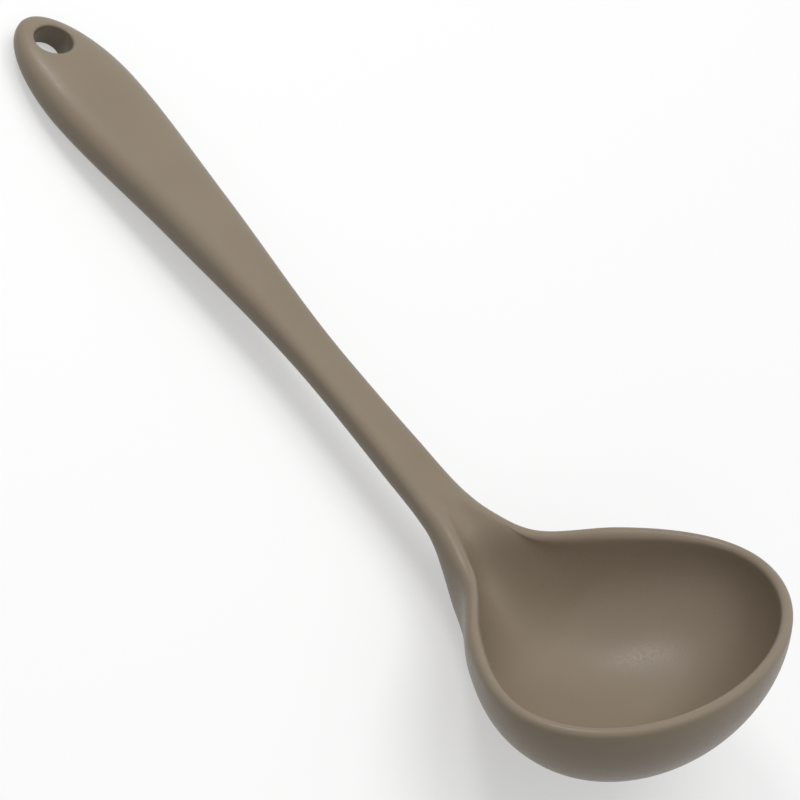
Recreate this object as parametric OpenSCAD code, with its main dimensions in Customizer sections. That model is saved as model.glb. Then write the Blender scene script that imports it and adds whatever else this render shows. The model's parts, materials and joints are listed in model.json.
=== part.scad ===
// Soup ladle: a soft skin moulded round a stiff bowl core and a flat bar in the handle.
// The ladle is drawn with its bowl axis upright, and then laid down on bowl and handle tip.

/* [Bowl] */
// Full width at the widest line of the bowl
bowl_w = 96; // [86:0.5:106]
// From the widest line forward to the front lip
bowl_front = 35.8; // [32:0.1:42]
// From the widest line back to where the round underside would close
bowl_back = 54.2; // [53.6:0.2:55.6]
// Outside depth under the widest line
bowl_depth = 34; // [31:0.2:38]
// Fullness of the round underside in side view, where 2 is an ellipse
bowl_fullness = 2.45; // [2.2:0.05:2.8]
// Thickness of the bowl wall, and so of its rounded lip
wall = 3.4; // [3:0.1:3.8]

/* [Neck] */
// Distance of the shoulder behind the widest line
shoulder_at = 30; // [27:0.5:33]
// Full width at the shoulder
shoulder_w = 66; // [60:0.2:72]
// Thickness of the bowl's floor at the shoulder
shoulder_wall = 4.4; // [3.6:0.1:5.2]
// Distance of the throat, where the sides draw in to the neck
throat_at = 45; // [42:0.5:48]
// Full width at the throat
throat_w = 32.4; // [30:0.2:35]
// Thickness of the floor at the throat, on the ramp down from the handle
throat_wall = 12; // [9:0.2:14]
// Distance of the neck, where the bowl runs out into the handle
neck_at = 56.5; // [56:0.5:60]
// Full width at the neck
neck_w = 21.4; // [19:0.2:23]
// Fullness of the outside at the throat and neck, where 2 is an ellipse
throat_fullness = 2.1; // [2:0.05:2.6]
// Top of the ramp above the centreline at the neck, between its lips
neck_top = 0.6; // [-1:0.1:1.6]
// Thickness that the lip grows to at the throat
neck_lip = 7.2; // [5.6:0.1:7.8]
// Where the round underside gives way to the straight heel
heel_at = 50; // [48.5:0.5:51]
// Size of the fillet between the heel and the handle
under_fillet = 13; // [8:0.5:18]

/* [Handle] */
// Slope of the handle against the rim, where it leaves the neck
rise = 33.9; // [28:0.1:36]
// Slope of the handle at its tip
tip_rise = 30.3; // [26:0.1:34]
// Where the centreline starts to bend up
bend_start = 27; // [22:0.5:29]
// Where the bend ends
bend_end = 67.5; // [65:0.5:75]
// Distance of the handle's root
root_at = 85; // [82:0.5:90]
// Full width at the root
root_w = 14; // [13:0.1:15]
// Top of the root above the centreline
root_crown = 3.2; // [3:0.1:4]
// Underside of the root below the centreline
root_keel = 6.4; // [6:0.1:7.4]
// Distance of the waist, the slimmest place
waist_at = 115; // [108:1:125]
// Full width at the waist
waist_w = 13; // [12:0.1:14.4]
// Top of the waist above the centreline
waist_crown = 3.4; // [3.2:0.1:4.4]
// Underside of the waist below the centreline
waist_keel = 5.7; // [5.2:0.1:6.6]
// Distance of the swell
swell_at = 170; // [160:1:180]
// Full width at the swell
swell_w = 21.4; // [19:0.2:23]
// Top of the swell above the centreline
swell_crown = 6; // [5.4:0.1:7]
// Underside of the swell below the centreline
swell_keel = 6.4; // [5.8:0.1:7.2]
// Distance of the grip, the widest place of the handle
grip_at = 212.5; // [206:0.5:226]
// Full width at the grip
grip_w = 28.6; // [26.6:0.2:34]
// Top of the grip above the centreline
grip_crown = 6.7; // [5.5:0.1:7.5]
// Underside of the grip below the centreline
grip_keel = 7.4; // [6:0.1:8.5]
// From the grip to the end of the rounded tip
tip_len = 31; // [28:0.5:35]
// Top of the tip above the centreline, before its edge is rounded
tip_crown = 4.4; // [3.8:0.1:5.5]
// Underside of the tip below the centreline, before its edge is rounded
tip_keel = 4.8; // [4:0.1:6]
// Fullness of the handle's top, where 2 is an ellipse
crown_fullness = 2.8; // [2.2:0.05:3.2]
// Fullness of the handle's underside
keel_fullness = 2.4; // [2:0.05:2.8]
// Fullness of the tip in side view
tip_fullness = 3.5; // [2.5:0.1:4.5]

/* [Hanging hole] */
// Radius of the hole
hole_r = 5.4; // [4.5:0.1:5.7]
// From the centre of the hole to the end of the tip
hole_from_tip = 10.8; // [10.5:0.1:12.5]
// Radius of the rounded edges of the hole
hole_round = 0.8; // [0.4:0.1:1.2]

/* [Bowl core] */
// Soft skin over each face of the core
skin = 1; // [0.8:0.05:1.1]
// Soft lip above the edge of the core
lip_cover = 2.4; // [1.8:0.1:4]
// Where the core ends in the handle
core_end = 98; // [92:0.5:106]
// Gap between the skin and what it is moulded on
bond_gap = 0.04; // [0.02:0.01:0.08]

/* [Handle bar] */
// Thickness of the flat bar
bar_t = 2; // [1.5:0.1:2.4]
// Width of the flat bar
bar_w = 6.4; // [5:0.1:7]
// Where the bar starts, inside the core
bar_start = 76; // [72:0.5:84]
// Ring of the eye around the hanging hole
eye_ring = 2.2; // [1.6:0.1:2.5]
// Soft lining between the hanging hole and the eye
eye_lining = 1.5; // [1.2:0.1:1.8]
// Radius of the keying holes punched through the bar
key_r = 1.5; // [1:0.1:1.8]
// Number of keying holes
key_count = 4; // [1:1:6]
// From the end of the core to the first keying hole
key_from_core = 16; // [10:1:20]
// From the hanging hole to the last keying hole
key_from_eye = 24; // [20:1:30]

/* [Smoothness] */
// Steps round the front half of the bowl
fan_steps = 14; // [10:1:16]
// Longest step along the neck
neck_step = 3.6; // [3:0.2:6]
// Longest step along the handle
handle_step = 6; // [5:0.5:9]
// Steps round the tip
tip_steps = 8; // [6:1:9]

/* [Hidden] */
$fn = 64;

SILICONE = [0.54, 0.49, 0.43];
NYLON = [0.24, 0.23, 0.22];
STEEL = [0.75, 0.76, 0.78];

// Points of a half section: along the inside, round the lip, along the outside
inside_steps = 9;
lip_steps = 8;
outside_steps = 10;
// Widest share of the half width that a lip may take on an open section, and on a closed one
open_lip = 0.9;
closed_lip = 0.6;
// Steepness of the neck's ramp beside its rounded lips
trough_power = 3;
handle_len = grip_at + tip_len;
hole_at = handle_len - hole_from_tip;

// The heel runs straight on at the slope that the round underside has where the heel starts
heel_part = heel_at / bowl_back;
heel_slope = bowl_curve(heel_at) / bowl_back * pow(heel_part, bowl_fullness - 1)
    / (1 - pow(heel_part, bowl_fullness));

// Columns of the stations below, behind the place along the centreline
HALF_WIDTH = 1;
TOP = 2;
KEEL = 1;
// Stations of the handle's underside: place, depth below the centreline
KEEL_STATIONS = [
    [0, root_keel],
    [root_at, root_keel],
    [waist_at, waist_keel],
    [swell_at, swell_keel],
    [grip_at, grip_keel],
    [handle_len, tip_keel]
];
// Stations along the centreline: place, half width, inside or top of the handle
STATIONS = [
    [0, bowl_w / 2, wall - bowl_depth],
    [shoulder_at, shoulder_w / 2, shoulder_wall - underside(shoulder_at)],
    [throat_at, throat_w / 2, throat_wall - underside(throat_at)],
    [neck_at, neck_w / 2, neck_top],
    [root_at, root_w / 2, root_crown],
    [waist_at, waist_w / 2, waist_crown],
    [swell_at, swell_w / 2, swell_crown],
    [grip_at, grip_w / 2, grip_crown],
    [handle_len, grip_w / 2, tip_crown]
];

function clamp(t) = max(0, min(1, t));
function ease(t) = let (u = clamp(t)) u * u * (3 - 2 * u);

// Smooth curve through stations that never swings past one
function chord(t, i, col) = (t[i + 1][col] - t[i][col]) / (t[i + 1][0] - t[i][0]);
function span(t, i) = t[i + 1][0] - t[i][0];
function limit(slope, a, b) = sign(slope) * min(abs(slope), 3 * abs(a), 3 * abs(b));
function slope(t, i, col) =
    i == 0 ? 0
    : i == len(t) - 1 ? chord(t, i - 1, col)
    : let (a = chord(t, i - 1, col), b = chord(t, i, col), ha = span(t, i - 1), hb = span(t, i))
      a * b <= 0 ? 0 : limit((b * ha + a * hb) / (ha + hb), a, b);
function interval(t, s, i = 0) =
    i >= len(t) - 2 || s < t[i + 1][0] ? i : interval(t, s, i + 1);
function along(t, s, col) =
    let (i = interval(t, s), h = span(t, i), u = clamp((s - t[i][0]) / h))
    t[i][col] * (1 + 2 * u) * pow(1 - u, 2)
    + slope(t, i, col) * h * u * pow(1 - u, 2)
    + t[i + 1][col] * u * u * (3 - 2 * u)
    - slope(t, i + 1, col) * h * u * u * (1 - u);

// Larger of two depths, with a fillet where they cross
function fillet_max(a, b, size) = max(a, b) + pow(max(0, size - abs(a - b)), 2) / (4 * size);

// The tip: an elliptic end in plan, and a fuller one in side view
function tip_part(s) = clamp((s - grip_at) / tip_len);
function round_end(t, p) = pow(max(0, 1 - pow(t, p)), 1 / p);
function half_width(s) = along(STATIONS, s, HALF_WIDTH) * round_end(tip_part(s), 2);
function top(s) = along(STATIONS, s, TOP) * round_end(tip_part(s), tip_fullness);
function bowl_curve(s) = bowl_depth * round_end(s / bowl_back, bowl_fullness);
function bowl_bottom(s) =
    s < heel_at ? bowl_curve(s) : bowl_curve(heel_at) - heel_slope * (s - heel_at);
function underside(s) =
    fillet_max(bowl_bottom(s), along(KEEL_STATIONS, s, KEEL), under_fillet)
    * round_end(tip_part(s), tip_fullness);
function lip(s) = wall + (neck_lip - wall) * ease(s / throat_at);
// The open bowl section turns into the trough of the neck, and that into the closed handle section
function to_trough(s) = ease((s - shoulder_at) / (neck_at - shoulder_at));
function to_handle(s) = ease((s - neck_at) / (root_at - neck_at));

// The centreline runs back from the bowl, level at first, and then climbs
function climb(s) =
    rise * ease((s - bend_start) / (bend_end - bend_start))
    + (tip_rise - rise) * clamp((s - bend_end) / (handle_len - bend_end));
LINE_STEP = 0.5;
LINE = [for (s = 0, x = 0, z = 0; s <= handle_len + LINE_STEP; s = s + LINE_STEP,
             x = x - LINE_STEP * cos(climb(s - LINE_STEP / 2)),
             z = z + LINE_STEP * sin(climb(s - LINE_STEP / 2))) [s, x, z]];
LINE_X = [for (p = LINE) [p[0], p[1]]];
LINE_Z = [for (p = LINE) [p[0], p[2]]];
function line_point(s) = [lookup(s, LINE_X), 0, lookup(s, LINE_Z)];
function line_normal(s) = [sin(climb(s)), 0, cos(climb(s))];

// Half sections, as [share of the inner edge, share of the outer edge, height]
function open_section(lip_t, floor_z, depth, drop) = concat(
    [for (i = [0:inside_steps])
        let (a = 90 * i / inside_steps)
        [sin(a), 0, -drop + (floor_z + drop) * cos(a)]],
    [for (i = [1:lip_steps - 1])
        let (a = 180 * i / lip_steps)
        [(1 + cos(a)) / 2, (1 - cos(a)) / 2, -drop + lip_t / 2 * sin(a)]],
    [for (i = [0:outside_steps])
        let (a = 90 - 90 * i / outside_steps)
        [0, sin(a), -drop - (depth - drop) * cos(a)]]
);
function trough_section(lip_t, floor_z, depth, drop) = concat(
    [for (i = [0:inside_steps])
        let (a = 90 * i / inside_steps, crest = lip_t / 2 - drop)
        [sin(a) / 2, sin(a) / 2, crest + min(0, floor_z - crest) * pow(cos(a), trough_power)]],
    [for (i = [1:lip_steps - 1])
        let (a = 90 * i / lip_steps)
        [(1 - sin(a)) / 2, (1 + sin(a)) / 2, -drop + lip_t / 2 * cos(a)]],
    [for (i = [0:outside_steps])
        let (a = 90 - 90 * i / outside_steps, p = 2 / throat_fullness)
        [0, pow(sin(a), p), -drop - (depth - drop) * pow(cos(a), p)]]
);
// On a closed section the lip's points run over the rounded side of the top
function closed_angle(i, edge) =
    i <= inside_steps ? edge * i / inside_steps
    : i <= inside_steps + lip_steps ? edge + (90 - edge) * (i - inside_steps) / lip_steps
    : 90 + 90 * (i - inside_steps - lip_steps) / outside_steps;
function closed_section(lip_share, top_z, depth) =
    let (edge = asin(pow(1 - lip_share, crown_fullness / 2)))
    [for (i = [0:inside_steps + lip_steps + outside_steps])
        let (a = closed_angle(i, edge))
        a <= 90
        ? [0, pow(sin(a), 2 / crown_fullness), top_z * pow(cos(a), 2 / crown_fullness)]
        : [0, pow(sin(a), 2 / keel_fullness), -depth * pow(-cos(a), 2 / keel_fullness)]];

// Rings of the body, inset all round by a skin, with its lip lowered by a drop
function fan_ring(turn, inset, drop) =
    let (t = wall - 2 * inset,
         outer = [(bowl_front - inset) * cos(turn), (bowl_w / 2 - inset) * sin(turn)],
         inner = [(bowl_front - inset - t) * cos(turn), (bowl_w / 2 - inset - t) * sin(turn)])
    [for (p = open_section(t, wall - bowl_depth - inset, bowl_depth - inset, drop))
        let (q = p[0] * inner + p[1] * outer)
        [q.x, q.y, p[2]]];
function sweep_ring(s, inset, drop) =
    let (m = to_trough(s),
         n = to_handle(s),
         w = half_width(s) - inset,
         t = min(lip(s) - 2 * inset, (open_lip + (closed_lip - open_lip) * n) * w),
         open = open_section(t, top(s) - inset, underside(s) - inset, drop),
         trough = trough_section(t, top(s) - inset, underside(s) - inset, drop),
         closed = closed_section(t / w, top(s) - inset, underside(s) - inset))
    [for (i = [0:len(open) - 1])
        let (p = (1 - n) * ((1 - m) * open[i] + m * trough[i]) + n * closed[i])
        line_point(s) + [0, p[0] * (w - t) + p[1] * w, 0] + p[2] * line_normal(s)];

// Closed surface over the rings, each mirrored to the other side, and the end point
ring_len = inside_steps + lip_steps + outside_steps + 1;
side_len = ring_len - 2;
function vertex(r, k, side, rings) =
    r == rings ? ring_len + fan_steps * 2 * side_len + (rings - fan_steps - 1) * (2 * side_len + 2)
    : r == 0 ? k
    : r <= fan_steps
    ? (k == 0 || k == ring_len - 1 ? k
       : ring_len + (r - 1) * 2 * side_len + side * side_len + k - 1)
    : ring_len + fan_steps * 2 * side_len + (r - fan_steps - 1) * (2 * side_len + 2)
      + (k == 0 ? 0 : k == ring_len - 1 ? 1 : 2 + side * side_len + k - 1);
function other_side(p) = [p.x, -p.y, p.z];
function side_points(ring) = [for (k = [1:side_len]) ring[k]];
function both_sides(ring) =
    concat(side_points(ring), [for (p = side_points(ring)) other_side(p)]);
function differ(f) = f[0] != f[1] && f[1] != f[2] && f[2] != f[0];
module loft(rings, end) {
    n = len(rings);
    points = concat(
        rings[0],
        [for (r = [1:fan_steps]) each both_sides(rings[r])],
        [for (r = [fan_steps + 1:n - 1])
            each concat([rings[r][0], rings[r][ring_len - 1]], both_sides(rings[r]))],
        [end]);
    faces = [
        for (r = [0:n - 1]) for (k = [0:ring_len - 2]) for (side = [0, 1])
            let (a = vertex(r, k, side, n), b = vertex(r, k + 1, side, n),
                 c = vertex(r + 1, k + 1, side, n), d = vertex(r + 1, k, side, n))
            for (f = side == 0 ? [[c, b, a], [d, c, a]] : [[a, b, c], [a, c, d]])
                if (differ(f)) f];
    polyhedron(points = points, faces = faces, convexity = 8);
}

// Places of the rings: even steps over the bowl and neck, longer ones over the handle
function even(from, to, step) =
    let (n = ceil((to - from) / step))
    [for (i = [1:n]) from + (to - from) * i / n];
function fan_rings(inset, drop) =
    [for (i = [0:fan_steps - 1]) fan_ring(90 * i / fan_steps, inset, drop)];
BODY_PLACES = concat(
    [0],
    even(0, root_at, neck_step),
    even(root_at, grip_at, handle_step),
    [for (i = [1:tip_steps - 1]) grip_at + tip_len * sin(90 * i / tip_steps)]);
CORE_PLACES = concat([0], even(0, root_at, neck_step), even(root_at, core_end, handle_step));
BODY_RINGS = concat(fan_rings(0, 0), [for (s = BODY_PLACES) sweep_ring(s, 0, 0)]);

module body() {
    loft(BODY_RINGS, line_point(handle_len));
}

// The stiff core follows the body one skin deeper; grow closes the bond gap for the cut
module core_body(grow) {
    inset = skin - grow;
    drop = lip_cover - inset - grow;
    rings = concat(fan_rings(inset, drop), [for (s = CORE_PLACES) sweep_ring(s, inset, drop)]);
    loft(rings, line_point(core_end) + line_normal(core_end) * (top(core_end) - underside(core_end)) / 2);
}

// The bar lies straight between the hanging hole and its start in the core
BAR_FROM = line_point(hole_at);
BAR_TO = line_point(bar_start);
bar_slope = atan2(BAR_FROM.z - BAR_TO.z, BAR_TO.x - BAR_FROM.x);
bar_len = norm(BAR_TO - BAR_FROM);
bar_out_of_core = norm(line_point(core_end) - BAR_FROM);
eye_hole_r = hole_r + eye_lining;
eye_r = eye_hole_r + eye_ring;
key_first = bar_out_of_core - key_from_core;
key_last = key_from_eye;

module bar(grow) {
    translate(BAR_FROM) rotate([0, bar_slope, 0]) translate([0, 0, -bar_t / 2 - grow]) difference() {
        linear_extrude(bar_t + 2 * grow) union() {
            circle(r = eye_r + grow);
            translate([0, -bar_w / 2 - grow]) square([bar_len + grow, bar_w + 2 * grow]);
        }
        translate([0, 0, -1]) cylinder(r = eye_hole_r - grow, h = bar_t + 2 * grow + 2);
        for (i = [0:key_count - 1])
            translate([key_last + (key_first - key_last) * i / max(1, key_count - 1), 0, -1])
                cylinder(r = key_r - grow, h = bar_t + 2 * grow + 2);
    }
}

// Hanging hole, square to the handle, with its edges rounded over
module hanging_hole() {
    reach = 20;
    top_z = top(hole_at) - hole_round;
    low_z = -underside(hole_at) + hole_round;
    translate(line_point(hole_at)) rotate([0, climb(hole_at), 0]) rotate_extrude()
        difference() {
            translate([0, -reach]) square([hole_r + hole_round, 2 * reach]);
            translate([hole_r, low_z]) square([2 * hole_round, top_z - low_z]);
            translate([hole_r + hole_round, top_z]) circle(r = hole_round);
            translate([hole_r + hole_round, low_z]) circle(r = hole_round);
        }
}

// Lying pose: the line under bowl and tip that touches both becomes the ground
function touch_slope() =
    max([for (r = [ceil(len(BODY_RINGS) * 0.7):len(BODY_RINGS) - 1])
        let (tip = BODY_RINGS[r][ring_len - 1])
        min([for (i = [fan_steps:floor(len(BODY_RINGS) * 0.5)])
            let (low = BODY_RINGS[i][ring_len - 1])
            (low.z - tip.z) / (low.x - tip.x)])]);
tilt = atan(touch_slope());
function lying_x(p) = p.x * cos(tilt) + p.z * sin(tilt);
function lying_z(p) = -p.x * sin(tilt) + p.z * cos(tilt);
ALL_POINTS = [for (ring = BODY_RINGS) each ring];
back_x = min([for (p = concat(ALL_POINTS, [line_point(handle_len)])) lying_x(p)]);
front_x = max([for (p = ALL_POINTS) lying_x(p)]);
low_z = min([for (p = ALL_POINTS) lying_z(p)]);

module lying() {
    translate([-(back_x + front_x) / 2, 0, -low_z]) rotate([0, tilt, 0]) children();
}

// One-piece silicone skin with the hanging hole
module silicone_coat() {
    color(SILICONE) lying() difference() {
        body();
        core_body(bond_gap);
        bar(bond_gap);
        hanging_hole();
    }
}

// Glass-filled nylon cup with a solid neck that holds the bar
module bowl_core() {
    color(NYLON) lying() difference() {
        core_body(0);
        bar(bond_gap);
    }
}

// Flat stainless steel bar with an eye round the hanging hole
module handle_bar() {
    color(STEEL) lying() bar(0);
}

silicone_coat();
bowl_core();
handle_bar();
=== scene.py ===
import json
import math

import bmesh
import bpy
import numpy as np
from mathutils import Matrix, Vector


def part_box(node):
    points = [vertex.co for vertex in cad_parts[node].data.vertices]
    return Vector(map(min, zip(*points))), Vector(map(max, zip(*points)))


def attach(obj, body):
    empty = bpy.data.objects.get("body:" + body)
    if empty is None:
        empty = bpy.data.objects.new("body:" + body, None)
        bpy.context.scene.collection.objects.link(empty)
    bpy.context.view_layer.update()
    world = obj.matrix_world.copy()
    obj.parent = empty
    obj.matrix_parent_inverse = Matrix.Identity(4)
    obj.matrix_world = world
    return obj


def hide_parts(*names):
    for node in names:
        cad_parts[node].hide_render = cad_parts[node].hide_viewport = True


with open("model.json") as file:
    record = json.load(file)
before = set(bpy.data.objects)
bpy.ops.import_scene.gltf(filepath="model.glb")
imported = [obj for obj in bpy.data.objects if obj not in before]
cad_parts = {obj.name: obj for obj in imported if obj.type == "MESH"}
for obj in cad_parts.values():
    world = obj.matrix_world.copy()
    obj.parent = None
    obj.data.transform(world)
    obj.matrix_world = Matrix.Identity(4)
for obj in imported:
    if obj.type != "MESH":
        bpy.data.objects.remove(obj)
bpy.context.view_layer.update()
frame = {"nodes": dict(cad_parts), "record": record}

mm = 0.001


# Silicone skin: the one soft piece that the eye sees, from the bowl's rim to the hanging hole.
# It is liquid silicone moulded in one shot round the stiff core and the handle's bar.
# Its mesh is a loft of cross sections, and at the tip the sections give way to rings round the hole.

bowl_width, bowl_front, bowl_back, bowl_depth = 96.0, 35.8, 54.2, 34.0
bowl_fullness = 2.45
wall = 3.4
shoulder_at, shoulder_width, shoulder_wall = 30.0, 66.0, 4.4
throat_at, throat_width, throat_wall = 45.0, 32.4, 12.0
neck_at, neck_width, neck_top, neck_lip = 56.5, 21.4, 0.6, 7.2
throat_fullness, trough_power = 2.1, 3
root_at, root_width, root_crown, root_keel = 85.0, 14.0, 3.2, 6.4
waist_at, waist_width, waist_crown, waist_keel = 115.0, 13.0, 3.4, 5.7
swell_at, swell_width, swell_crown, swell_keel = 170.0, 21.4, 6.0, 6.4
grip_at, grip_width, grip_crown, grip_keel = 212.5, 28.6, 6.7, 7.4
tip_length, tip_crown, tip_keel, tip_fullness = 31.0, 4.4, 4.8, 3.5
crown_fullness, keel_fullness = 2.8, 2.4
heel_at, under_fillet = 50.0, 13.0
rise, tip_rise, bend_start, bend_end = 33.9, 30.3, 27.0, 67.5
hole_radius, hole_from_tip, hole_rounding = 5.4, 10.8, 1.0
open_lip, closed_lip = 0.9, 0.6

tip_end = grip_at + tip_length
hole_at = tip_end - hole_from_tip

# Points of a half section along the inside, round the lip and along the outside
inside_steps, lip_steps, outside_steps = 24, 12, 36
top_steps = inside_steps + lip_steps
# Points along the rings: round the bowl's front, along neck and handle, and round the tip
fan_steps, neck_steps, handle_steps, tip_steps = 48, 72, 52, 48
# Points along one strip of the tip: each face, each edge of the hole, and its wall
face_steps, edge_steps, bore_steps = 30, 8, 6


def ease(t):
    """A soft step from 0 to 1."""
    t = np.clip(t, 0, 1)
    return t * t * (3 - 2 * t)


def station_curve(places, values, s):
    """A smooth curve through stations that never swings past one, level at its first."""
    places, values = np.array(places), np.array(values)
    spans = np.diff(places)
    chords = np.diff(values) / spans
    slopes = np.zeros(len(places))
    for i in range(1, len(places) - 1):
        before, after = chords[i - 1], chords[i]
        if before * after > 0:
            mean = (after * spans[i - 1] + before * spans[i]) / (spans[i - 1] + spans[i])
            slopes[i] = np.sign(mean) * min(abs(mean), 3 * abs(before), 3 * abs(after))
    slopes[-1] = chords[-1]
    i = np.clip(np.searchsorted(places, s, side="right") - 1, 0, len(places) - 2)
    u = np.clip((s - places[i]) / spans[i], 0, 1)
    return (values[i] * (1 + 2 * u) * (1 - u) ** 2 + slopes[i] * spans[i] * u * (1 - u) ** 2
            + values[i + 1] * u * u * (3 - 2 * u) - slopes[i + 1] * spans[i] * u * u * (1 - u))


def round_end(t, fullness):
    """A superellipse's height, from 1 at t = 0 to 0 at t = 1."""
    return np.clip(1 - np.clip(t, 0, 1) ** fullness, 0, 1) ** (1 / fullness)


def tip_part(s):
    """How far a place lies between the grip and the end of the tip."""
    return (s - grip_at) / tip_length


def underside(s):
    """Depth of the body below the centreline: bowl, straight heel, fillet, handle and tip."""
    keel = station_curve([0, root_at, waist_at, swell_at, grip_at, tip_end],
                         [root_keel, root_keel, waist_keel, swell_keel, grip_keel, tip_keel], s)
    part = heel_at / bowl_back
    heel = bowl_depth * round_end(part, bowl_fullness)
    slope = heel / bowl_back * part ** (bowl_fullness - 1) / (1 - part ** bowl_fullness)
    bottom = np.where(s < heel_at, bowl_depth * round_end(s / bowl_back, bowl_fullness),
                      heel - slope * (s - heel_at))
    fillet = np.maximum(0, under_fillet - abs(bottom - keel)) ** 2 / (4 * under_fillet)
    return (np.maximum(bottom, keel) + fillet) * round_end(tip_part(s), tip_fullness)


def half_width(s):
    """Half of the body's width at a place along the centreline."""
    widths = [bowl_width, shoulder_width, throat_width, neck_width, root_width,
              waist_width, swell_width, grip_width, grip_width]
    places = [0, shoulder_at, throat_at, neck_at, root_at, waist_at, swell_at, grip_at, tip_end]
    return station_curve(places, np.array(widths) / 2, s) * round_end(tip_part(s), 2)


def top(s):
    """Height of the bowl's floor, the trough or the handle's top over the centreline."""
    places = [0, shoulder_at, throat_at, neck_at, root_at, waist_at, swell_at, grip_at, tip_end]
    heights = [wall - bowl_depth, shoulder_wall - underside(shoulder_at),
               throat_wall - underside(throat_at), neck_top, root_crown, waist_crown, swell_crown,
               grip_crown, tip_crown]
    return station_curve(places, heights, s) * round_end(tip_part(s), tip_fullness)


def climb(s):
    """Slope of the centreline: level under the bowl, then up, then a little less to the tip."""
    bent = ease((s - bend_start) / (bend_end - bend_start))
    past = np.clip((s - bend_end) / (tip_end - bend_end), 0, 1)
    return np.radians(rise * bent + (tip_rise - rise) * past)


line_points = 1000
line_places = np.linspace(0, tip_end, line_points)
line_step = line_places[1]
line_mid = climb(line_places[1:] - line_step / 2)
line_x = np.concatenate([[0], np.cumsum(-np.cos(line_mid) * line_step)])
line_z = np.concatenate([[0], np.cumsum(np.sin(line_mid) * line_step)])


def on_line(s, y, z):
    """Points at a place along the centreline, a distance across it and a height square to it."""
    s, y, z = np.broadcast_arrays(s, y, z)
    x = np.interp(s, line_places, line_x) + z * np.sin(climb(s))
    height = np.interp(s, line_places, line_z) + z * np.cos(climb(s))
    return np.stack([x, y, height], axis=-1)


inside = np.radians(np.linspace(0, 90, inside_steps + 1))
outside = np.radians(np.linspace(90, 0, outside_steps + 1))
half_turn = np.radians(np.linspace(0, 180, lip_steps + 1)[1:-1])
quarter_turn = half_turn / 2


def half_section(parts):
    """One array of points from the inner, lip and outer parts of a section."""
    return np.concatenate([np.stack(np.broadcast_arrays(*part), axis=-1) for part in parts])


def open_section(lip, floor, depth):
    """Shares of the inner and outer edge and a height: the bowl's wall with its round lip."""
    return half_section([
        (np.sin(inside), 0, floor * np.cos(inside)),
        ((1 + np.cos(half_turn)) / 2, (1 - np.cos(half_turn)) / 2, lip / 2 * np.sin(half_turn)),
        (0, np.sin(outside), -depth * np.cos(outside))])


def trough_section(lip, floor, depth):
    """The neck's trough between two fat lips."""
    crest = lip / 2
    full = 2 / throat_fullness
    return half_section([
        (np.sin(inside) / 2, np.sin(inside) / 2,
         crest + min(0, floor - crest) * np.cos(inside) ** trough_power),
        ((1 - np.sin(quarter_turn)) / 2, (1 + np.sin(quarter_turn)) / 2, crest * np.cos(quarter_turn)),
        (0, np.sin(outside) ** full, -depth * np.cos(outside) ** full)])


def closed_section(edge, crown, depth):
    """The handle's oval, with the lip's points running over its rounded side."""
    turn = np.concatenate([np.linspace(0, edge, inside_steps + 1),
                           np.linspace(edge, 90, lip_steps + 1)[1:]])
    across = np.sin(np.radians(turn)) ** (2 / crown_fullness)
    below = np.sin(outside[1:]) ** (2 / crown_fullness)
    return half_section([
        (0, across, crown * round_end(across, crown_fullness)),
        (0, below, -depth * round_end(below, keel_fullness))])


def sweep_ring(s):
    """One cross section of the neck or handle, as points in space."""
    half = half_width(s)
    to_trough = ease((s - shoulder_at) / (neck_at - shoulder_at))
    to_handle = ease((s - neck_at) / (root_at - neck_at))
    lip = wall + (neck_lip - wall) * ease(s / throat_at)
    lip = min(lip, (open_lip + (closed_lip - open_lip) * to_handle) * half)
    lip_edge = np.degrees(np.arcsin((1 - lip / half) ** (crown_fullness / 2)))
    even_edge = 90 * inside_steps / top_steps
    edge = lip_edge + (even_edge - lip_edge) * ease((s - root_at) / (swell_at - root_at))
    section = ((1 - to_handle) * ((1 - to_trough) * open_section(lip, top(s), underside(s))
                                  + to_trough * trough_section(lip, top(s), underside(s)))
               + to_handle * closed_section(edge, top(s), underside(s)))
    across = section[:, 0] * (half - lip) + section[:, 1] * half
    return on_line(s, across, section[:, 2])


def fan_ring(turn):
    """One cross section of the bowl's round front, turned about the bowl's axis."""
    section = open_section(wall, wall - bowl_depth, bowl_depth)
    outer = np.array([bowl_front * math.cos(turn), bowl_width / 2 * math.sin(turn)])
    inner = np.array([(bowl_front - wall) * math.cos(turn),
                      (bowl_width / 2 - wall) * math.sin(turn)])
    flat = section[:, :1] * inner + section[:, 1:2] * outer
    return np.column_stack([flat, section[:, 2]])


def crown_at(s, y):
    """Height of the handle's top face off its middle."""
    return top(s) * round_end(y / np.maximum(half_width(s), 1e-6), crown_fullness)


def keel_at(s, y):
    """Height of the handle's lower face off its middle."""
    return -underside(s) * round_end(y / np.maximum(half_width(s), 1e-6), keel_fullness)


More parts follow.
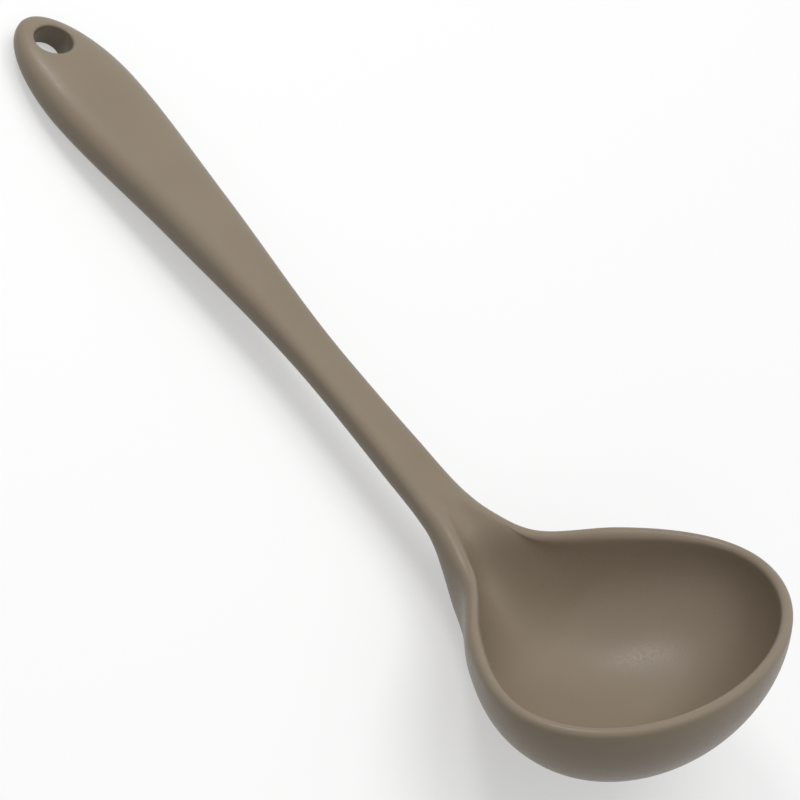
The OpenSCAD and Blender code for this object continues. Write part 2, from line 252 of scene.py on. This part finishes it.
def tip_ray(edge_s, edge_y, crowding):
    """One strip of the tip: over the top to the hole, through it, and back under to the edge."""
    reach = math.hypot(edge_s - hole_at, edge_y)
    ahead, aside = (edge_s - hole_at) / reach, edge_y / reach
    t = np.linspace(0, 1, face_steps + 1)
    t = (1 - crowding) * t + crowding * np.sin(np.pi / 2 * t)
    out = hole_radius + hole_rounding + (reach - hole_radius - hole_rounding) * t
    out[-1] = reach
    s, y = hole_at + ahead * out, aside * out
    arc = np.radians(np.linspace(0, 90, edge_steps + 1)[:-1])
    near = hole_radius + hole_rounding * (1 - np.cos(arc))
    drop = hole_rounding * (1 - np.sin(arc))
    near_s, near_y = hole_at + ahead * near, aside * near
    upper = crown_at(near_s, near_y) - drop
    lower = keel_at(near_s, near_y) + drop
    bore = np.linspace(upper[0], lower[0], bore_steps + 1)[1:-1]
    return np.concatenate([
        on_line(s, y, crown_at(s, y))[::-1],
        on_line(near_s, near_y, upper)[::-1],
        on_line(near_s[0], near_y[0], bore),
        on_line(near_s, near_y, lower),
        on_line(s, y, keel_at(s, y))])


fan_turns = np.radians(np.linspace(0, 90, fan_steps + 1)[:-1])
neck_places = np.linspace(0, root_at, neck_steps)
handle_places = np.linspace(root_at, grip_at, handle_steps)[1:]
body_grid = [fan_ring(turn) for turn in fan_turns]
body_grid += [sweep_ring(s) for s in np.concatenate([neck_places, handle_places])]

side_steps = np.radians(np.linspace(0, 90, top_steps + 1))
side_edge = grip_width / 2 * np.sin(side_steps) ** (2 / crown_fullness)
round_turns = np.radians(np.linspace(0, 90, tip_steps + 1)[1:])
tip_grid = [tip_ray(grip_at, y, (y / side_edge[-1]) ** 2) for y in side_edge]
tip_grid += [tip_ray(grip_at + tip_length * math.sin(turn), grip_width / 2 * math.cos(turn), 1)
             for turn in round_turns]


def both_halves(grid):
    """The points of a grid and of its mirror image, and the faces between them."""
    points = np.array(grid)
    rows, columns = points.shape[:2]
    index = np.arange(rows * columns).reshape(rows, columns)
    corners = (index[:-1, :-1], index[1:, :-1], index[1:, 1:], index[:-1, 1:])
    faces = np.stack(corners, axis=-1).reshape(-1, 4)
    mirrored = points * [1, -1, 1]
    return np.concatenate([points.reshape(-1, 3), mirrored.reshape(-1, 3)]), \
        np.concatenate([faces, faces[:, ::-1] + rows * columns])


body_points, body_faces = both_halves(body_grid)
tip_points, tip_faces = both_halves(tip_grid)
skin_points = np.concatenate([body_points, tip_points])
skin_faces = np.concatenate([body_faces, tip_faces + len(body_points)])

# The ladle lies down by the slant of the hanging hole, and then fills the box of the moulded skin
hole_mount = frame["record"]["mounts"][0]
lean = math.atan2(hole_mount["axis"][0], hole_mount["axis"][2]) - float(climb(hole_at))
skin_points = skin_points @ np.array(Matrix.Rotation(lean, 3, "Y")).T
low, high = skin_points.min(axis=0), skin_points.max(axis=0)
box_low, box_high = (np.array(corner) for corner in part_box("silicone_coat"))
skin_points = box_low + (skin_points - low) / (high - low) * (box_high - box_low)

skin_mesh = bpy.data.meshes.new("silicone_skin")
skin_mesh.from_pydata(skin_points.tolist(), [], skin_faces.tolist())
weld_gap = 0.002 * mm
weld = bmesh.new()
weld.from_mesh(skin_mesh)
bmesh.ops.remove_doubles(weld, verts=weld.verts, dist=weld_gap)
bmesh.ops.recalc_face_normals(weld, faces=weld.faces)
for face in weld.faces:
    face.smooth = True
weld.to_mesh(skin_mesh)
weld.free()
skin = bpy.data.objects.new("silicone_skin", skin_mesh)
bpy.context.scene.collection.objects.link(skin)


def linear(code, alpha=1.0):
    """The linear colour of an sRGB hex value such as #8c806e."""
    shares = [int(code[i:i + 2], 16) / 255 for i in (1, 3, 5)]
    return [c / 12.92 if c <= 0.04045 else ((c + 0.055) / 1.055) ** 2.4 for c in shares] + [alpha]


def add_node(material, kind, inputs, **settings):
    """Adds one node with its settings, and sets or links its inputs by name or number."""
    node = material.node_tree.nodes.new(kind)
    for name, value in settings.items():
        setattr(node, name, value)
    for name, value in inputs.items():
        if isinstance(value, bpy.types.NodeSocket):
            material.node_tree.links.new(value, node.inputs[name])
        else:
            node.inputs[name].default_value = value
    return node


# Platinum-cured silicone from a spark-eroded mould: even pigment, a dry satin face, and a grain
# of about 0.1 mm. The grain is drawn at 0.7 mm, since the real one is too fine to show.
silicone = bpy.data.materials.new("moulded_silicone")
silicone.use_nodes = True
silicone.node_tree.nodes.clear()
place = add_node(silicone, "ShaderNodeTexCoord", {})
grain = add_node(silicone, "ShaderNodeTexNoise", {
    "Vector": place.outputs["Object"], "Scale": 1 / (0.7 * mm), "Detail": 2.0, "Roughness": 0.6})
cloud = add_node(silicone, "ShaderNodeTexNoise", {
    "Vector": place.outputs["Object"], "Scale": 1 / (22 * mm), "Detail": 3.0, "Roughness": 0.5})
tone = add_node(silicone, "ShaderNodeMapRange", {
    "Value": cloud.outputs["Fac"], "From Min": 0.3, "From Max": 0.7, "To Min": 0.0, "To Max": 1.0})
pigment = add_node(silicone, "ShaderNodeMix", {
    0: tone.outputs["Result"], 6: linear("#867968"), 7: linear("#8a7d6b")}, data_type="RGBA")
dryness = add_node(silicone, "ShaderNodeMapRange", {
    "Value": grain.outputs["Fac"], "From Min": 0.3, "From Max": 0.7, "To Min": 0.32, "To Max": 0.45})
relief = add_node(silicone, "ShaderNodeBump", {
    "Height": grain.outputs["Fac"], "Strength": 0.8, "Distance": 0.04 * mm})
silicone_face = add_node(silicone, "ShaderNodeBsdfPrincipled", {
    "Base Color": pigment.outputs[2], "Roughness": dryness.outputs["Result"],
    "Normal": relief.outputs["Normal"], "IOR": 1.41})
add_node(silicone, "ShaderNodeOutputMaterial", {"Surface": silicone_face.outputs["BSDF"]})
skin_mesh.materials.append(silicone)

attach(skin, "root")
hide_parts("silicone_coat")


# Bowl core: the stiff cup inside the bowl, with the solid neck that grips the bar.
# It is nylon with 30% short glass fibre, moulded first and then laid in the silicone mould.
nylon = bpy.data.materials.new("glass_filled_nylon")
nylon.use_nodes = True
nylon.node_tree.nodes.clear()
place = add_node(nylon, "ShaderNodeTexCoord", {})
fibre = add_node(nylon, "ShaderNodeTexNoise", {
    "Vector": place.outputs["Object"], "Scale": 1 / (0.8 * mm), "Detail": 4.0, "Roughness": 0.7})
fleck = add_node(nylon, "ShaderNodeMapRange", {
    "Value": fibre.outputs["Fac"], "From Min": 0.55, "From Max": 0.75, "To Min": 0.0, "To Max": 1.0})
nylon_tone = add_node(nylon, "ShaderNodeMix", {
    0: fleck.outputs["Result"], 6: linear("#3a3836"), 7: linear("#55524e")}, data_type="RGBA")
nylon_relief = add_node(nylon, "ShaderNodeBump", {
    "Height": fibre.outputs["Fac"], "Strength": 0.3, "Distance": 0.05 * mm})
nylon_face = add_node(nylon, "ShaderNodeBsdfPrincipled", {
    "Base Color": nylon_tone.outputs[2], "Roughness": 0.45, "IOR": 1.53,
    "Normal": nylon_relief.outputs["Normal"]})
add_node(nylon, "ShaderNodeOutputMaterial", {"Surface": nylon_face.outputs["BSDF"]})
for slot in frame["nodes"]["bowl_core"].material_slots:
    slot.material = nylon


# Handle bar: the flat spring of the handle, with an eye round the hanging hole.
# It is stamped from cold-rolled stainless steel strip, so its faces carry the rolling direction.
steel = bpy.data.materials.new("rolled_stainless_steel")
steel.use_nodes = True
steel.node_tree.nodes.clear()
place = add_node(steel, "ShaderNodeTexCoord", {})
along_strip = add_node(steel, "ShaderNodeMapping", {
    "Vector": place.outputs["Object"], "Scale": (1 / (12 * mm), 1 / (0.25 * mm), 1 / (0.25 * mm))})
rolling = add_node(steel, "ShaderNodeTexNoise", {
    "Vector": along_strip.outputs["Vector"], "Scale": 1.0, "Detail": 3.0, "Roughness": 0.6})
rolled = add_node(steel, "ShaderNodeMapRange", {
    "Value": rolling.outputs["Fac"], "From Min": 0.3, "From Max": 0.7, "To Min": 0.26, "To Max": 0.4})
steel_relief = add_node(steel, "ShaderNodeBump", {
    "Height": rolling.outputs["Fac"], "Strength": 0.15, "Distance": 0.02 * mm})
steel_face = add_node(steel, "ShaderNodeBsdfPrincipled", {
    "Base Color": linear("#c4c6c8"), "Metallic": 1.0, "Roughness": rolled.outputs["Result"],
    "Normal": steel_relief.outputs["Normal"]})
add_node(steel, "ShaderNodeOutputMaterial", {"Surface": steel_face.outputs["BSDF"]})
for slot in frame["nodes"]["handle_bar"].material_slots:
    slot.material = steel


# Table top: the white sheet that the ladle lies on. It runs out past the view.
# Seen by the eye it is a bright white that keeps the ladle's soft shadow. It throws less light
# back up than it shows, as in a studio where the walls near the camera are dark.
table_size = 6.0
table_mesh = bpy.data.meshes.new("table_top")
reach = table_size / 2
table_mesh.from_pydata([(-reach, -reach, 0), (reach, -reach, 0), (reach, reach, 0), (-reach, reach, 0)],
                       [], [(0, 1, 2, 3)])
table = bpy.data.objects.new("table_top", table_mesh)
bpy.context.scene.collection.objects.link(table)


def seen_ray(material):
    """One for the rays by which a surface is seen, straight, mirrored or through glass."""
    ray = add_node(material, "ShaderNodeLightPath", {})
    sharp = add_node(material, "ShaderNodeMath", {
        0: ray.outputs["Is Camera Ray"], 1: ray.outputs["Is Glossy Ray"]}, operation="MAXIMUM")
    return add_node(material, "ShaderNodeMath", {
        0: sharp.outputs[0], 1: ray.outputs["Is Transmission Ray"]}, operation="MAXIMUM").outputs[0]


shadow_lift = 0.45
paper = bpy.data.materials.new("white_paper")
paper.use_nodes = True
paper.node_tree.nodes.clear()
bounce_face = add_node(paper, "ShaderNodeBsdfDiffuse", {"Color": linear("#b4b4b4")})
shown_face = add_node(paper, "ShaderNodeBsdfDiffuse", {"Color": linear("#ffffff")})
glow = add_node(paper, "ShaderNodeEmission", {"Color": linear("#ffffff"), "Strength": 1.0})
lifted = add_node(paper, "ShaderNodeMixShader", {
    0: shadow_lift, 1: shown_face.outputs["BSDF"], 2: glow.outputs["Emission"]})
paper_face = add_node(paper, "ShaderNodeMixShader", {
    0: seen_ray(paper), 1: bounce_face.outputs["BSDF"], 2: lifted.outputs["Shader"]})
add_node(paper, "ShaderNodeOutputMaterial", {"Surface": paper_face.outputs["Shader"]})
table_mesh.materials.append(paper)


# Studio light: a white ceiling that darkens to nothing at the horizon, a wide soft box overhead and a
# low one near the camera, both behind polarisers, so without a sheen, and a small one beyond the
# handle's end, whose sheen shows in the bowl. Each share is the light that it gives a level face.
# A ceiling that darkens so gives a level face two thirds of its light straight above.
room_share, wide_share, low_share, small_share = 0.42, 0.37, 0.03, 0.2
world = bpy.data.worlds.new("studio")
bpy.context.scene.world = world
world.use_nodes = True
world.node_tree.nodes.clear()
direction = add_node(world, "ShaderNodeTexCoord", {})
height = add_node(world, "ShaderNodeSeparateXYZ", {"Vector": direction.outputs["Generated"]})
ceiling = add_node(world, "ShaderNodeMapRange", {
    "Value": height.outputs["Z"], "From Min": 0.0, "From Max": 1.0,
    "To Min": 0.0, "To Max": room_share / (2 / 3)})
room = add_node(world, "ShaderNodeBackground", {
    "Color": linear("#ffffff"), "Strength": ceiling.outputs["Result"]})
backdrop = add_node(world, "ShaderNodeBackground", {"Color": linear("#ffffff"), "Strength": 1.0})
shown = add_node(world, "ShaderNodeMixShader", {
    0: seen_ray(world), 1: room.outputs["Background"], 2: backdrop.outputs["Background"]})
add_node(world, "ShaderNodeOutputWorld", {"Surface": shown.outputs["Shader"]})


def soft_box(name, azimuth, elevation, distance, size, share, sheen):
    """A square lamp that looks at the ladle and gives a level face its share of the light."""
    azimuth, elevation = math.radians(azimuth), math.radians(elevation)
    away = Vector((math.cos(azimuth) * math.cos(elevation),
                   math.sin(azimuth) * math.cos(elevation), math.sin(elevation)))
    lamp = bpy.data.lights.new(name, "AREA")
    lamp.shape = "SQUARE"
    lamp.size = size
    lamp.energy = share * math.pi ** 2 * distance ** 2 / math.sin(elevation)
    holder = bpy.data.objects.new(name, lamp)
    holder.location = away * distance
    holder.rotation_euler = away.to_track_quat("Z", "Y").to_euler()
    holder.visible_glossy = sheen
    bpy.context.scene.collection.objects.link(holder)


soft_box("wide_box", 120, 74, 1.6, 1.1, wide_share, False)
soft_box("low_box", -60, 25, 1.6, 0.9, low_share, False)
soft_box("small_box", -178, 49, 1.4, 0.35, small_share, True)


# Camera: a long lens over the front corner of the ladle, rolled so that the handle runs up to the left.
camera_place = Vector((101.4, -563.7, 673.6)) * mm
azimuth, elevation, roll = math.radians(8.89), math.radians(48.44), math.radians(45.0)
sensor, lens = 36.0, 146.85
camera_back = Vector((math.sin(azimuth) * math.cos(elevation),
                      -math.cos(azimuth) * math.cos(elevation), math.sin(elevation)))
level = Vector((math.cos(azimuth), math.sin(azimuth), 0))
camera_right = level * math.cos(roll) + camera_back.cross(level) * math.sin(roll)
camera_up = camera_back.cross(camera_right)
camera_data = bpy.data.cameras.new("camera")
camera_data.sensor_width = sensor
camera_data.lens = lens
camera_data.clip_start = 10 * mm
camera = bpy.data.objects.new("camera", camera_data)
camera.matrix_world = Matrix.Translation(camera_place) @ Matrix(
    (camera_right, camera_up, camera_back)).transposed().to_4x4()
bpy.context.scene.collection.objects.link(camera)
bpy.context.scene.camera = camera
bpy.context.scene.view_settings.view_transform = "Standard"
